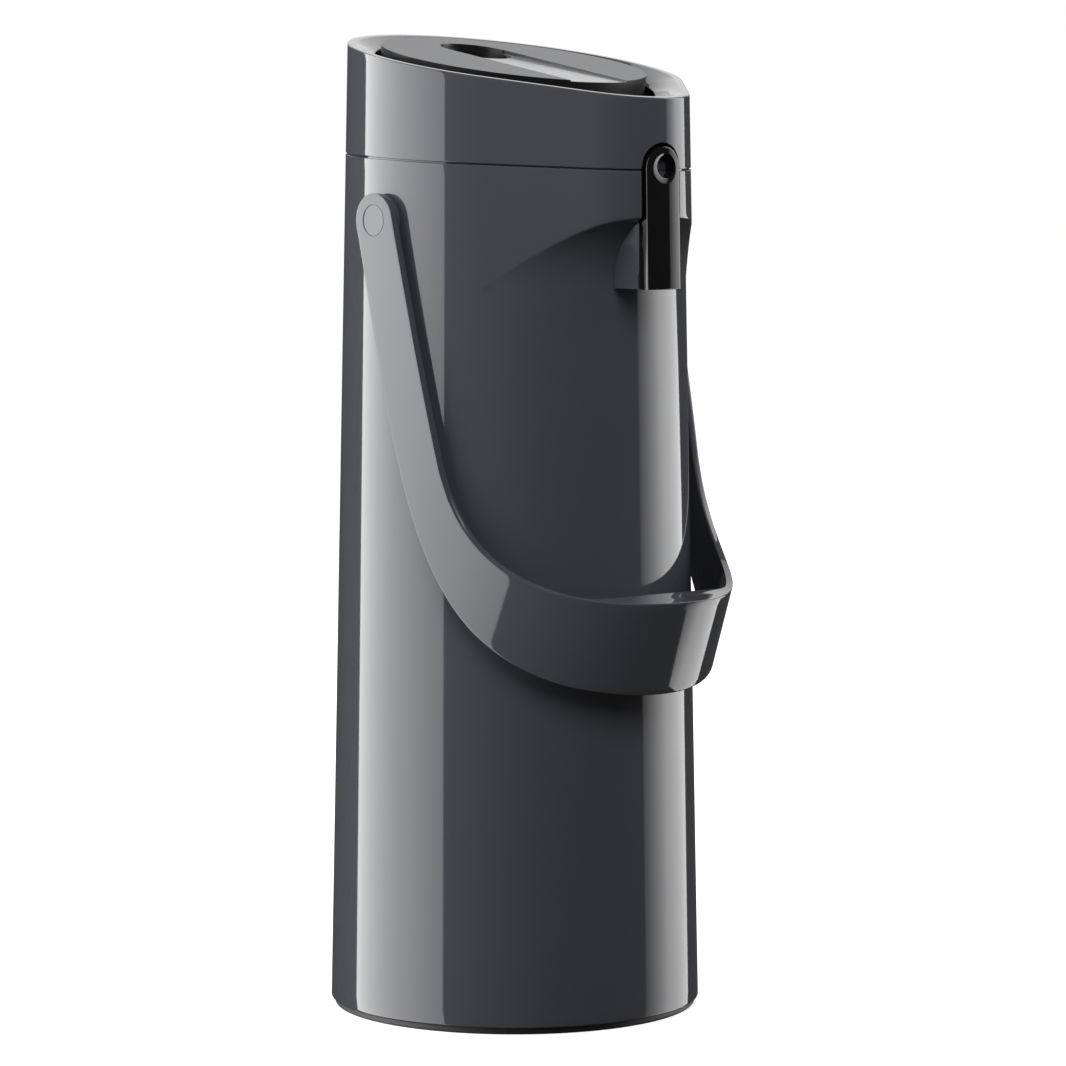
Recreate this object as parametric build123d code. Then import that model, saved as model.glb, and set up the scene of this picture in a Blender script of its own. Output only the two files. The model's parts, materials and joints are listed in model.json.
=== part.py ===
from build123d import *
from math import acos, atan, cos, degrees, radians, sin, sqrt, tan
import os

# Vacuum pump jug: a tapered casing round a double-walled glass flask, a hinged lid with a
# press button over a bellows, a spout under a nose at the front, and a swinging carrying band.
# The front, where the spout is, faces -Y. A forward distance is written u and equals -y.
# All sizes are millimetres. The jug stands on z = 0 with its axis on Z.

# Casing and its nose
base_radius = 73.2
draft = 0.0201                 # radius lost per millimetre of height on every outer wall
casing_wall = 2.5
casing_bottom = 2.6
nose_centre = 52.4             # forward distance of the nose's own round front
nose_radius = 33.2             # at the height of the seam
cove_start = 287.0             # where the round body begins to sweep out under the nose
cove_radius = 26.5
blend_step = 0.1               # how far the wall above the cove stands proud of the cone

# Seam between casing and lid, and the sloping rim
seam_height = 334.8
seam_slope = 0.050
seam_gap = 0.8
rim_height = 372.9
rim_slope = 0.1765
rim_land = 3.2
dish_depth = 5.0
dish_slope = 0.2228

# Foot and base
foot_radius = 71.7
foot_edge = 0.9
casing_edge = 0.8
cap_thickness = 4.0
cap_clearance = 0.2
post_circle = 66.5
post_radius = 4.4
post_top = 20.0
base_post_count = 3
screw_radius = 1.2
screw_clearance = 0.05
screw_head_radius = 2.6
screw_head_depth = 1.8

# Flask
flask_radius = 62.3
glass_wall = 2.0
vacuum_gap = 3.6
flask_shoulder = 262.0
flask_neck_radius = 33.0
flask_neck_height = 300.0
flask_lip_height = 308.0
flask_bore_radius = 27.0
flask_corner = 20.0
lip_thickness = 2.0
cushion_height = 6.0
cushion_radius = 48.0
cushion_bore = 20.0

# Collar over the neck
gasket_thickness = 2.4
collar_floor = 322.0
collar_top = 326.0
collar_mouth = 40.0
collar_bore = 27.6
collar_clearance = 0.25
ledge_width = 3.5
ledge_height = 3.0

# Water way
tube_forward = 19.0
dip_tube_radius = 2.75
dip_tube_bore = 2.1
dip_tube_foot = 26.0
pipe_radius = 3.6
pipe_bore = 2.8
pipe_start = 292.0
pipe_level = 317.6
elbow_radius = 8.0
spout_forward = 73.0
nozzle_radius = 3.2
nozzle_bore = 2.0
nozzle_top = 303.0
nozzle_shoulder = 297.0
nozzle_foot = 288.5

# Spout hood and its stem
hood_half_width = 8.4          # as wide as the bar in front of it
hood_bottom = 285.6
hood_back = 64.0
hood_top = 313.0
hood_stem_radius = 6.8
hood_stem_top = 309.4
hood_stem_start = 298.0
fit_clearance = 0.15

# Latch bar in the front groove
bar_half_width = 8.4
bar_top_centre = 331.2
bar_bottom = 285.4
bar_proud = 1.2
bar_thickness = 4.4
bar_eye_radius = 5.75
groove_gap = 1.5
groove_floor = 80.6
keeper_wall = 2.4
latch_seat = 81.2              # front face of the hood's core behind the bar
latch_pin_forward = 79.3
latch_pin_height = 291.6
latch_pin_radius = 1.0
latch_lug_radius = 2.2
latch_lug_half_width = 2.4
latch_pin_half_length = 7.4
spring_wire = 0.35
spring_coil_radius = 2.1

# Carrying band
pivot_height = 311.3
band_half_width = 72.1         # half width across the arms
band_thickness = 3.0
band_end_radius = 10.4
band_level = 170.0
band_centre = -12.2            # middle of the ellipse that the band follows in plan
band_reach = 114.6             # forward half axis of that ellipse at band_level
band_lean = 0.417              # growth of the reach per millimetre of height
band_grip_forward = 97.0       # flat inner side of the grip at band_level, ahead of band_centre
arm_angle = 13.8               # front edge of each arm, from the vertical
arm_edge_length = 98.0
grip_top = 167.4               # highest edge of the grip, at the very front
front_edge_reach = (39.0, 27.6)
grip_point = 103.0
back_edge_angle = 14.8
back_edge_end = (88.0, 129.9)
back_edge_end_angle = 16.9
back_edge_reach = (90.3, 72.4)

# Band pivots
boss_radius = 9.4
boss_face = 67.6
boss_inner_face = 60.0
washer_thickness = 0.7
washer_bore = 4.3
pin_radius = 4.0
pin_clearance = 0.05
pin_head_radius = 5.9
pin_head_gap = 0.15
pin_head_depth = 1.5
pin_face = 71.8                # outer face of the pin's head
pin_tip = 61.0

# Lid hinge at the back
hinge_back = 67.6
hinge_height = 338.2
knuckle_radius = 4.4
knuckle_gap = 0.4
lid_knuckle_half_width = 9.6
casing_knuckle_width = 8.0
hinge_pin_radius = 1.6
hinge_pin_clearance = 0.05

# Press button
button_radius = 52.45
button_height = 373.6
button_slope = 0.178
button_deck = 2.6
button_skirt_wall = 2.2
button_skirt = 10.0
button_draft = 0.12
well_clearance = 1.85
well_wall = 2.0
well_depth = 6.0
finger_hole_radius = 14.05
finger_hole_back = 23.6
groove_half_width = 14.5
groove_depth_front = 0.5
groove_depth_back = 1.6
cup_wall = 1.3
cup_floor_height = 363.0
button_boss_radius = 11.0

# Lid deck, bellows and spring
deck_lift = 0.6
deck_thickness = 2.4
plug_floor = 327.6
plug_floor_thickness = 2.8
plug_inner_radius = 35.5
plug_wall = 2.5
plug_flange_radius = 46.5
lid_gasket_inner = 41.0
air_hole_radius = 4.0
bellows_radius = 33.0
bellows_root_radius = 28.0
bellows_wall = 1.2
bellows_folds = 5
bellows_flange = 1.5
bellows_top = 359.0
bellows_cap_thickness = 2.5
spigot_radius = 9.5
spigot_length = 7.0
spring_radius = 12.0
spring_rod = 0.8
spring_turns = 5
lid_post_circle = 60.2
lid_post_radius = 3.0
lid_post_angles = (50, 130, 225, 315)

# Planes for outlines drawn from the side (u, z) and from the front (x, z)
SIDE = Plane(origin=(0, 0, 0), x_dir=(0, -1, 0), z_dir=(-1, 0, 0))
FRONT = Plane(origin=(0, 0, 0), x_dir=(1, 0, 0), z_dir=(0, -1, 0))
far = 130.0


def body_radius(z, inset=0.0):
    return base_radius - draft * z - inset


def nose_arc_radius(z, inset=0.0):
    return nose_radius - draft * (z - seam_height) - inset


def side_prism(outline, half_width=far):
    return extrude(SIDE * outline, half_width, both=True)


def front_prism(outline, u_start, u_end):
    return extrude(FRONT.offset(u_start) * outline, u_end - u_start)


def below(height, slope, floor=-20.0):
    """Everything under the plane z = height - slope * u."""
    outline = make_face(Polyline(
        (-far, floor), (far, floor), (far, height - slope * far), (-far, height + slope * far),
        close=True))
    return side_prism(outline)


def round_solid(outline):
    return revolve(Plane.XZ * outline, Axis.Z)


def ring(r_in, r_out, z_low, z_high):
    return round_solid(Pos((r_in + r_out) / 2, (z_low + z_high) / 2)
                       * Rectangle(r_out - r_in, z_high - z_low))


def disc(radius, z_low, z_high, x=0.0, u=0.0):
    return Pos(x, -u, (z_low + z_high) / 2) * Cylinder(radius, z_high - z_low)


def cross_rod(radius, x_low, x_high, u, z):
    """A cylinder along X."""
    return Pos((x_low + x_high) / 2, -u, z) * Rot(0, 90, 0) * Cylinder(radius, x_high - x_low)


def block(x_half, u_low, u_high, z_low, z_high):
    return Pos(0, -(u_low + u_high) / 2, (z_low + z_high) / 2) * Box(
        2 * x_half, u_high - u_low, z_high - z_low)


def tombstone(half_width, bottom, arch_centre):
    """An upright outline with straight sides and a round top, seen from the front."""
    straight = Pos(0, (bottom + arch_centre) / 2) * Rectangle(2 * half_width, arch_centre - bottom)
    return straight + Pos(0, arch_centre) * Circle(half_width)


def plan_face(z, inset=0.0, step=0.0):
    """The plan at height z: the round body and the nose's round front, joined by tangents."""
    r_body = body_radius(z, inset) + step
    r_nose = nose_arc_radius(z, inset)
    turn = acos((r_body - r_nose) / nose_centre)
    body_side = (r_body * sin(turn), -r_body * cos(turn))
    nose_side = (r_nose * sin(turn), -nose_centre - r_nose * cos(turn))
    mirror_x = lambda p: (-p[0], p[1])
    outline = (Line(nose_side, body_side)
               + ThreePointArc(body_side, (0, r_body), mirror_x(body_side))
               + Line(mirror_x(body_side), mirror_x(nose_side))
               + ThreePointArc(mirror_x(nose_side), (0, -nose_centre - r_nose), nose_side))
    return Pos(0, 0, z) * make_face(outline)


def nose_prism(z_low, z_high, inset=0.0):
    return loft([plan_face(z_low, inset, blend_step), plan_face(z_high, inset, blend_step)],
                ruled=True)


def casing_form(inset, z_low, z_high):
    """The casing's outer surface moved in by inset: cone, cove and nose up to z_high."""
    start_radius = body_radius(cove_start)
    centre_r = start_radius + cove_radius
    centre_z = cove_start + cove_radius * draft
    radius = cove_radius + inset
    arc_start = (centre_r - radius, centre_z - radius * draft)
    arc_middle = (centre_r - radius * cos(radians(45)), centre_z + radius * sin(radians(45)))
    arc_end = (centre_r, centre_z + radius)
    outline = (Line((0, z_low), (body_radius(z_low, inset), z_low))
               + Line((body_radius(z_low, inset), z_low), arc_start)
               + ThreePointArc(arc_start, arc_middle, arc_end)
               + Line(arc_end, (arc_end[0], z_high))
               + Line((arc_end[0], z_high), (0, z_high))
               + Line((0, z_high), (0, z_low)))
    swept = round_solid(make_face(outline))
    limit = disc(far, z_low - 1, arc_start[1]) + nose_prism(arc_start[1], z_high, inset)
    return swept & limit


def groove_outline(gap):
    return tombstone(bar_half_width + gap, bar_bottom - 30, bar_top_centre)


def hinge_barrel(x_low, x_high, radius):
    return cross_rod(radius, x_low, x_high, -hinge_back, hinge_height)


def outer_casing():
    z_over = seam_height + 12
    shell = casing_form(0, casing_bottom, z_over) - casing_form(casing_wall, casing_bottom - 1, z_over + 1)
    inner = body_radius(collar_floor, casing_wall)
    ledge = ring(inner - ledge_width, inner + 1, collar_floor - ledge_height, collar_floor)
    ledge -= block(bar_half_width, 0, far, collar_floor - 10, collar_floor + 1)
    shell += ledge
    for k in range(base_post_count):
        a = radians(90 + 360 / base_post_count * k)
        post = disc(post_radius, casing_bottom + cap_thickness + cap_clearance, post_top)
        shell += Pos(post_circle * cos(a), post_circle * sin(a), 0) * post
    for side in (-1, 1):
        boss = cross_rod(boss_radius, boss_inner_face, boss_face, 0, pivot_height)
        shell += boss if side > 0 else mirror(boss, Plane.YZ)
    keeper = block(bar_half_width + 6, groove_floor - keeper_wall, groove_floor, 300, z_over)
    shell += keeper & casing_form(casing_wall / 2, casing_bottom, z_over)
    shell &= below(seam_height - seam_gap / 2, seam_slope)
    for side in (-1, 1):
        low = side * (lid_knuckle_half_width + knuckle_gap)
        high = low + side * casing_knuckle_width
        barrel = hinge_barrel(min(low, high), max(low, high), knuckle_radius)
        web = Pos((low + high) / 2, hinge_back - 3.6, hinge_height - 5) * Box(
            casing_knuckle_width, 4.4, 10)
        web &= below(seam_height - seam_gap / 2, seam_slope)
        shell += barrel + web
    shell -= hinge_barrel(-lid_knuckle_half_width - knuckle_gap, lid_knuckle_half_width + knuckle_gap,
                          knuckle_radius + knuckle_gap)
    shell -= hinge_barrel(-30, 30, hinge_pin_radius + hinge_pin_clearance)
    shell -= front_prism(groove_outline(groove_gap), groove_floor, far)
    stem_hole = disc(hood_stem_radius + fit_clearance, hood_stem_start - 1, hood_stem_top + 4,
                     u=spout_forward)
    shell -= stem_hole & block(20, 50, groove_floor - keeper_wall + 0.5 + fit_clearance, 280, 330)
    for side in (-1, 1):
        hole = cross_rod(pin_radius + pin_clearance, pin_tip, boss_face + 1, 0, pivot_height)
        shell -= hole if side > 0 else mirror(hole, Plane.YZ)
    for k in range(base_post_count):
        a = radians(90 + 360 / base_post_count * k)
        hole = disc(screw_radius + screw_clearance, casing_bottom, post_top - 3)
        shell -= Pos(post_circle * cos(a), post_circle * sin(a), 0) * hole
    edge = body_radius(casing_bottom)
    corner = make_face(Polyline((edge - casing_edge, casing_bottom - 0.1), (edge + 1, casing_bottom - 0.1),
                                (edge + 1, casing_bottom + casing_edge + 0.9), close=True))
    return shell - round_solid(corner)


def base_cap():
    top = casing_bottom + cap_thickness
    cap = disc(body_radius(top, casing_wall + cap_clearance), casing_bottom, top)
    cap += ring(cushion_radius + 0.3, cushion_radius + 3, top, top + cushion_height)
    for k in range(base_post_count):
        a = radians(90 + 360 / base_post_count * k)
        place = Pos(post_circle * cos(a), post_circle * sin(a), 0)
        cap -= place * disc(screw_radius + screw_clearance, 0, top + 1)
        cap -= place * disc(screw_head_radius + 0.3, casing_bottom, casing_bottom + screw_head_depth + 0.2)
    return cap


def base_screws():
    screws = []
    for k in range(base_post_count):
        a = radians(90 + 360 / base_post_count * k)
        head = disc(screw_head_radius, casing_bottom + 0.2, casing_bottom + 0.2 + screw_head_depth)
        screw = head + disc(screw_radius, casing_bottom + 1, post_top - 4)
        screws.append(Pos(post_circle * cos(a), post_circle * sin(a), 0) * screw)
    return Compound(children=screws)


def foot_pad():
    pad = disc(foot_radius, 0, casing_bottom)
    return fillet(pad.edges().group_by(Axis.Z)[0], foot_edge)


def flask_cushion():
    top = casing_bottom + cap_thickness
    return ring(cushion_bore, cushion_radius, top, top + cushion_height)


def bottle_outline(radius, floor, corner, shoulder, neck_radius, neck_height, top):
    """Half outline of a bottle with rounded floor corners and a domed shoulder."""
    bend = cos(radians(45))
    rise = neck_height - shoulder
    width = radius - neck_radius
    return (Line((0, floor), (radius - corner, floor))
            + ThreePointArc((radius - corner, floor),
                            (radius - corner + corner * bend, floor + corner - corner * bend),
                            (radius, floor + corner))
            + Line((radius, floor + corner), (radius, shoulder))
            + ThreePointArc((radius, shoulder),
                            (radius - width * 0.27, shoulder + rise * 0.70),
                            (neck_radius, neck_height))
            + Line((neck_radius, neck_height), (neck_radius, top))
            + Line((neck_radius, top), (0, top))
            + Line((0, top), (0, floor)))


def bottle(inset, floor, top):
    corner = flask_corner - inset
    outline = bottle_outline(flask_radius - inset, floor, corner, flask_shoulder,
                             flask_neck_radius - inset * 0.72, flask_neck_height - inset * 0.5, top)
    return round_solid(make_face(outline))


def flask_outer():
    floor = casing_bottom + cap_thickness + cushion_height
    return bottle(0, floor, flask_lip_height) - bottle(glass_wall, floor + glass_wall, flask_lip_height + 1)


def flask_inner():
    inset = glass_wall + vacuum_gap
    floor = casing_bottom + cap_thickness + cushion_height + glass_wall + vacuum_gap
    top = flask_lip_height + lip_thickness
    vessel = bottle(inset, floor, top)
    vessel += ring(flask_bore_radius, flask_neck_radius, flask_lip_height, top)
    vessel -= bottle(inset + glass_wall, floor + glass_wall, flask_neck_height)
    vessel -= disc(flask_bore_radius, flask_shoulder, top + 1)
    return vessel


def neck_gasket():
    low = flask_lip_height + lip_thickness
    return ring(collar_bore, flask_neck_radius, low, low + gasket_thickness)


def water_hole(gap):
    """Straight square way for the delivery pipe through the collar."""
    half = pipe_radius + gap
    return block(half, tube_forward, tube_forward + 80, pipe_level - half, pipe_level + half)


def neck_collar():
    low = flask_lip_height + lip_thickness + gasket_thickness
    profile = make_face(Polyline(
        (collar_bore, low), (flask_neck_radius + 1, low), (flask_neck_radius + 1, collar_floor),
        (collar_mouth + 12, collar_floor), (collar_mouth + 12, collar_top),
        (collar_mouth, collar_top), (collar_bore, low + 3.5), close=True))
    plate = extrude(plan_face(collar_floor, casing_wall + collar_clearance), collar_top - collar_floor)
    plate -= disc(collar_mouth + 6, collar_floor - 1, collar_top + 1)
    plate &= below(seam_height, 0)
    plate -= block(bar_half_width + 8, groove_floor - keeper_wall - 0.3, far, 300, 340)
    collar = round_solid(profile) + plate
    return collar - water_hole(0.25)


def dip_tube():
    return ring(dip_tube_bore, dip_tube_radius, dip_tube_foot, pipe_start + 10).moved(
        Location((0, -tube_forward, 0)))


def delivery_pipe():
    rise = Line((tube_forward, pipe_start), (tube_forward, pipe_level - elbow_radius))
    turn = pipe_level - elbow_radius
    bend = cos(radians(45)) * elbow_radius
    first = ThreePointArc((tube_forward, turn),
                          (tube_forward + elbow_radius - bend, turn + bend),
                          (tube_forward + elbow_radius, pipe_level))
    run = Line((tube_forward + elbow_radius, pipe_level), (spout_forward - elbow_radius, pipe_level))
    second = ThreePointArc((spout_forward - elbow_radius, pipe_level),
                           (spout_forward - elbow_radius + bend, turn + bend),
                           (spout_forward, turn))
    drop = Line((spout_forward, turn), (spout_forward, nozzle_shoulder))
    path = SIDE * (rise + first + run + second + drop)
    section = Pos(0, -tube_forward, pipe_start) * Circle(pipe_radius)
    bore = Pos(0, -tube_forward, pipe_start) * Circle(pipe_bore)
    return sweep(section, path) - sweep(bore, path)


def spout_nozzle():
    tip = ring(nozzle_bore, nozzle_radius, nozzle_foot, nozzle_shoulder)
    stub = ring(nozzle_bore, pipe_bore - 0.05, nozzle_shoulder, nozzle_top)
    return (tip + stub).moved(Location((0, -spout_forward, 0)))


def nose_cylinder(inset, z_low, z_high):
    """The nose's round front carried straight down as a cone, moved in by inset."""
    low, high = nose_arc_radius(z_low, inset), nose_arc_radius(z_high, inset)
    return Pos(0, -nose_centre, (z_low + z_high) / 2) * Cone(low, high, z_high - z_low)


def spout_hood():
    """The keel under the nose: it fills the hollow behind the bar and carries the outlet."""
    hood = block(hood_half_width, hood_back, latch_seat, hood_bottom, hood_top)
    hood -= casing_form(-fit_clearance, casing_bottom, hood_top + 20)
    hood += disc(hood_stem_radius, hood_stem_start, hood_stem_top, u=spout_forward) & block(
        20, 60, groove_floor - keeper_wall + 0.5, hood_stem_start, hood_stem_top)
    gap = fit_clearance * 2
    hood -= front_prism(groove_outline(gap), latch_seat, far)
    hood -= block(bar_half_width + gap, latch_seat - 0.4, far, hood_bottom - 1, latch_pin_height)
    hood -= block(latch_lug_half_width + gap, latch_pin_forward - latch_lug_radius - gap, far,
                  hood_bottom - 1, latch_pin_height + latch_lug_radius + gap)
    hood -= disc(nozzle_radius + 0.05, hood_bottom - 1, nozzle_shoulder, u=spout_forward)
    hood -= disc(pipe_radius + 0.05, nozzle_shoulder - 0.5, hood_stem_top + 1, u=spout_forward)
    hood -= cross_rod(latch_pin_radius, -latch_pin_half_length, latch_pin_half_length,
                      latch_pin_forward, latch_pin_height)
    return hood


def latch_bar():
    z_high = bar_top_centre + bar_half_width + 1
    bar = front_prism(tombstone(bar_half_width, bar_bottom, bar_top_centre), spout_forward, far)
    bar &= nose_cylinder(-bar_proud, bar_bottom - 1, z_high) - nose_cylinder(
        bar_thickness - bar_proud, bar_bottom - 2, z_high + 1)
    lug = cross_rod(latch_lug_radius, -latch_lug_half_width, latch_lug_half_width,
                    latch_pin_forward, latch_pin_height)
    lug += block(latch_lug_half_width, latch_pin_forward, groove_floor + 4,
                 latch_pin_height - latch_lug_radius, latch_pin_height + latch_lug_radius)
    bar += lug
    bar -= front_prism(Pos(0, bar_top_centre) * Circle(bar_eye_radius), spout_forward, far)
    bar -= cross_rod(latch_pin_radius + pin_clearance, -9, 9, latch_pin_forward, latch_pin_height)
    return bar


def latch_pin():
    return cross_rod(latch_pin_radius, -latch_pin_half_length, latch_pin_half_length,
                     latch_pin_forward, latch_pin_height)


def band_form(inset):
    """The leaning body the band is cut from: an ellipse in plan whose reach grows with height."""
    ends = []
    for z in (110.0, 330.0):
        reach = band_reach + band_lean * (z - band_level)
        ends.append(Pos(0, -band_centre, z) * Ellipse(band_half_width - inset, reach - inset))
    return loft(ends, ruled=True)


def band_profile():
    """The band from the side: a round end at the pivot and a broad curved grip at the front."""
    a = radians(arm_angle)
    top = (band_end_radius * cos(a), pivot_height + band_end_radius * sin(a))
    knee = (top[0] + arm_edge_length * sin(a), top[1] - arm_edge_length * cos(a))
    first, last = front_edge_reach
    knee_handle = (knee[0] + first * sin(a), knee[1] - first * cos(a))
    front_handle = (grip_point - last, grip_top)
    b = radians(back_edge_angle)
    e = radians(back_edge_end_angle)
    low = (-band_end_radius * cos(b), pivot_height - band_end_radius * sin(b))
    first, last = back_edge_reach
    low_handle = (low[0] + first * sin(b), low[1] - first * cos(b))
    end_handle = (back_edge_end[0] - last * cos(e), back_edge_end[1] + last * sin(e))
    reach = grip_point + 12
    corner = (reach, back_edge_end[1] - (reach - back_edge_end[0]) * tan(e))
    outline = (Line(top, knee)
               + Bezier(knee, knee_handle, front_handle, (grip_point, grip_top))
               + Line((grip_point, grip_top), (reach, grip_top))
               + Line((reach, grip_top), corner)
               + Line(corner, back_edge_end)
               + Bezier(back_edge_end, end_handle, low_handle, low)
               + Line(low, top))
    return make_face(outline) + Pos(0, pivot_height) * Circle(band_end_radius)


def grip_flat(z):
    """How far forward the flat inner side of the grip lies at height z."""
    return band_centre + band_grip_forward + band_lean * (z - band_level)


def handle_band():
    inside = make_face(Polyline((-40, 100), (grip_flat(100), 100), (grip_flat(340), 340), (-40, 340),
                                close=True))
    band = band_form(0) & side_prism(band_profile())
    band -= band_form(band_thickness) & side_prism(inside)
    for side in (-1, 1):
        hole = cross_rod(pin_radius + pin_clearance, 60, 80, 0, pivot_height)
        hole += cross_rod(pin_head_radius + pin_head_gap, pin_face - pin_head_depth, 80, 0, pivot_height)
        band -= hole if side > 0 else mirror(hole, Plane.YZ)
    return band


def handle_pin(side):
    head_face = pin_face - pin_head_depth + pin_clearance
    pin = cross_rod(pin_radius, pin_tip, head_face, 0, pivot_height)
    pin += cross_rod(pin_head_radius, head_face, pin_face, 0, pivot_height)
    return pin if side > 0 else mirror(pin, Plane.YZ)


def handle_washer(side):
    washer = cross_rod(boss_radius - 0.6, boss_face, boss_face + washer_thickness, 0, pivot_height)
    washer -= cross_rod(washer_bore, boss_face - 1, boss_face + 2, 0, pivot_height)
    return washer if side > 0 else mirror(washer, Plane.YZ)


def hinge_pin():
    reach = lid_knuckle_half_width + knuckle_gap + casing_knuckle_width
    return hinge_barrel(-reach, reach, hinge_pin_radius)


def slice_face(solid, height, slope):
    """The section of a solid by the plane z = height - slope * u."""
    plane = Plane(origin=(0, 0, height), x_dir=(1, 0, 0), z_dir=(0, -slope, 1))
    return section(solid, section_by=plane)


def dish():
    """The hollow inside the rim: from a line just inside the rim down to the button's well."""
    outer = nose_prism(330, 400, rim_land)
    well = Pos(0, 0, 330) * make_face(well_outline())
    well_solid = extrude(well, 70)
    top = slice_face(outer, rim_height, rim_slope).faces()[0]
    low = slice_face(well_solid, rim_height - dish_depth, dish_slope).faces()[0]
    lift = (top.center() - low.center()).length
    bowl = loft([low, top], ruled=True)
    return bowl + (extrude(top, 20) if lift > 0 else bowl)


def well_outline():
    """The well's circle, in four arcs that face the four sides of the plan."""
    radius = button_radius + well_clearance
    turn = degrees(acos((body_radius(rim_height) - nose_arc_radius(rim_height)) / nose_centre))
    stops = (-90 - turn * 0.6, -90 + turn * 0.6, -90 + turn * 1.4, 270 - turn * 1.4, 270 - turn * 0.6)
    point = lambda a: (radius * cos(radians(a)), radius * sin(radians(a)))
    curve = None
    for a, b in zip(stops[:-1], stops[1:]):
        arc = ThreePointArc(point(a), point((a + b) / 2), point(b))
        curve = arc if curve is None else curve + arc
    return curve


def head_shell():
    z_low, z_high = seam_height - 8, rim_height + 20
    outer = nose_prism(z_low, z_high) & below(rim_height, rim_slope)
    ceiling = rim_height - dish_depth - casing_wall
    cavity = nose_prism(z_low - 1, z_high, casing_wall) & below(ceiling, dish_slope)
    head = outer - cavity
    radius = button_radius + well_clearance
    tube = ring(radius, radius + well_wall, 330, 380)
    tube &= below(rim_height - dish_depth, dish_slope) - below(rim_height - dish_depth - well_depth, dish_slope)
    head += tube
    for a in lid_post_angles:
        x, y = lid_post_circle * cos(radians(a)), lid_post_circle * sin(radians(a))
        post = disc(lid_post_radius, seam_height - 5, rim_height + 20, x=x, u=-y)
        head += (post & below(ceiling + 1, dish_slope)) - below(
            seam_height + deck_lift + deck_thickness, seam_slope, floor=200)
    keeper = block(bar_half_width + 6, groove_floor - keeper_wall, groove_floor, 300, bar_top_centre + 16)
    head += keeper & nose_prism(z_low, z_high, casing_wall / 2)
    head -= below(seam_height + seam_gap / 2, seam_slope)
    lugs = hinge_barrel(-lid_knuckle_half_width, lid_knuckle_half_width, knuckle_radius)
    web = Pos(0, hinge_back - 3.6, hinge_height + 5) * Box(2 * lid_knuckle_half_width, 4.4, 10)
    head += lugs + (web - below(seam_height + seam_gap / 2, seam_slope))
    for side in (-1, 1):
        low = side * (lid_knuckle_half_width + knuckle_gap / 2)
        high = low + side * (casing_knuckle_width + 1.5 * knuckle_gap)
        head -= hinge_barrel(min(low, high), max(low, high), knuckle_radius + knuckle_gap)
    head -= hinge_barrel(-30, 30, hinge_pin_radius + hinge_pin_clearance)
    head -= dish()
    head -= disc(radius, 330, 400)
    head -= front_prism(groove_outline(groove_gap), groove_floor, far)
    for a in lid_post_angles:
        x, y = lid_post_circle * cos(radians(a)), lid_post_circle * sin(radians(a))
        head -= disc(screw_radius + screw_clearance, 320, seam_height + 16, x=x, u=-y)
    return head


def deck_level(u):
    return seam_height + deck_lift - seam_slope * u


def lid_deck():
    z_low, z_high = seam_height - 8, seam_height + 12
    slab = nose_prism(z_low, z_high, casing_wall + collar_clearance)
    slab &= below(seam_height + deck_lift + deck_thickness, seam_slope)
    slab -= below(seam_height + deck_lift, seam_slope)
    slab -= disc(plug_inner_radius, 300, 360)
    slab -= block(bar_half_width + 7, groove_floor - keeper_wall - 0.3, far, 300, 360)
    slab -= Pos(0, hinge_back, hinge_height) * Box(50, 12, 12)
    plug = ring(plug_inner_radius, plug_inner_radius + plug_wall, plug_floor, seam_height + deck_lift + deck_thickness)
    plug &= below(seam_height + deck_lift + deck_thickness, seam_slope)
    floor = disc(plug_flange_radius, plug_floor, plug_floor + plug_floor_thickness)
    deck = slab + plug + floor
    deck -= disc(air_hole_radius, plug_floor - 1, plug_floor + plug_floor_thickness + 1)
    for a in lid_post_angles:
        x, y = lid_post_circle * cos(radians(a)), lid_post_circle * sin(radians(a))
        deck -= disc(screw_radius + screw_clearance, 320, 360, x=x, u=-y)
    return deck


def lid_screws():
    screws = []
    for a in lid_post_angles:
        x, y = lid_post_circle * cos(radians(a)), lid_post_circle * sin(radians(a))
        under = deck_level(-y) - seam_slope * screw_head_radius
        screw = disc(screw_head_radius, under - 1.4, under, x=x, u=-y)
        screw += disc(screw_radius, under - 0.5, under + 12, x=x, u=-y)
        screws.append(screw)
    return Compound(children=screws)


def lid_gasket():
    return ring(lid_gasket_inner, plug_flange_radius, collar_top, plug_floor)


def bellows():
    """A thin pleated tube with a flange at its foot, open at both ends."""
    low = plug_floor + plug_floor_thickness
    pleat = (bellows_top - low - bellows_flange) / bellows_folds
    outside = [(bellows_radius + 1.5, low), (bellows_radius + 1.5, low + bellows_flange)]
    inside = [(bellows_root_radius - bellows_wall, low)]
    for k in range(bellows_folds):
        foot = low + bellows_flange + k * pleat
        outside += [(bellows_root_radius, foot + 0.05 * pleat), (bellows_radius, foot + 0.5 * pleat)]
        inside += [(bellows_root_radius - bellows_wall, foot + 0.05 * pleat),
                   (bellows_radius - bellows_wall, foot + 0.5 * pleat)]
    outside.append((bellows_root_radius, bellows_top))
    inside.append((bellows_root_radius - bellows_wall, bellows_top))
    return round_solid(make_face(Polyline(*outside, *reversed(inside), close=True)))


def bellows_cap():
    cap = disc(bellows_radius, bellows_top, bellows_top + bellows_cap_thickness)
    cap += disc(spigot_radius, bellows_top - spigot_length, bellows_top)
    return fillet(cap.edges().group_by(Axis.Z)[0], 1.5)


def return_spring():
    low = plug_floor + plug_floor_thickness + spring_rod
    high = bellows_top - spring_rod
    path = Pos(0, 0, low) * Helix((high - low) / spring_turns, high - low, spring_radius)
    start = Plane(origin=path @ 0, z_dir=path % 0)
    return sweep(start * RegularPolygon(spring_rod, 6), path)


def button_wall(inset):
    """The button's tapered side, moved in by inset."""
    low, high = 330.0, 400.0
    radius = lambda z: button_radius - inset - button_draft * (button_height - z) * (z < button_height)
    return Pos(0, 0, (low + button_height) / 2) * Cone(radius(low), radius(button_height), button_height - low) + disc(
        radius(button_height), button_height, high)


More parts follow.
